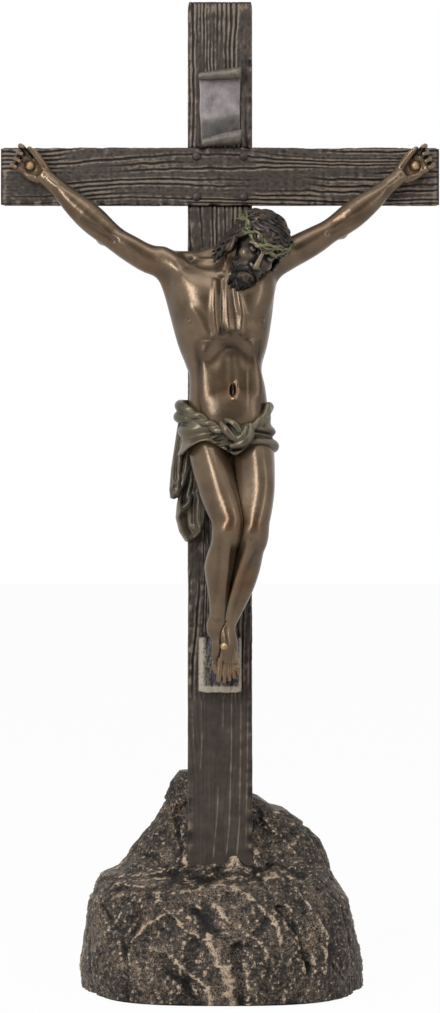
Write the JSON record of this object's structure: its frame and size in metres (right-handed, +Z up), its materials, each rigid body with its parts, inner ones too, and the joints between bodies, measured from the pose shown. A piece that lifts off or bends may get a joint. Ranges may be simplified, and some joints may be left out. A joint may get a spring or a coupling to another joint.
{
  "type": "crucifix",
  "caption": "Standing crucifix: a hewn cross on a rock-shaped base, with a piece-cast figure nailed to it, a crown of twisted vines, a loincloth, a bare title scroll and a footrest.",
  "frame": {"origin": "centre of the post's axis on the surface that the felt pad rests on", "axes": "+Z up along the post, -Y towards the front that the figure faces, +X towards the figure's left hand"},
  "size_m": [0.149, 0.0707, 0.337],
  "materials": {
    "rock_resin": "dark cold-cast resin, dry-brushed bronze",
    "beam_resin": "dark brown cold-cast resin with carved grain",
    "figure_resin": "polished bronze-filled resin with a dark patina",
    "cloth_resin": "bronze-filled resin with a greenish dark patina",
    "crown_resin": "green patina",
    "scroll_resin": "pale grey paint with worn brass edges",
    "footrest_resin": "pale worn resin",
    "nail_brass": "polished",
    "steel": "plain",
    "felt": "dark felt"
  },
  "bodies": {
    "root": {"rock_base": "rock_resin", "felt_pad": "felt", "anchor_screw": "steel", "anchor_washer": "steel", "upright_post": "beam_resin", "crossbeam": "beam_resin", "lap_pegs": "nail_brass", "title_scroll": "scroll_resin", "footrest": "footrest_resin", "torso": "figure_resin", "head": "figure_resin", "crown_of_thorns": "crown_resin", "right_arm": "figure_resin", "left_arm": "figure_resin", "right_leg": "figure_resin", "left_leg": "figure_resin", "loincloth": "cloth_resin", "cloth_fall": "cloth_resin", "hand_nails": "nail_brass", "foot_nail": "nail_brass", "figure_dowels": "steel", "back_peg": "steel"}
  },
  "joints": []
}
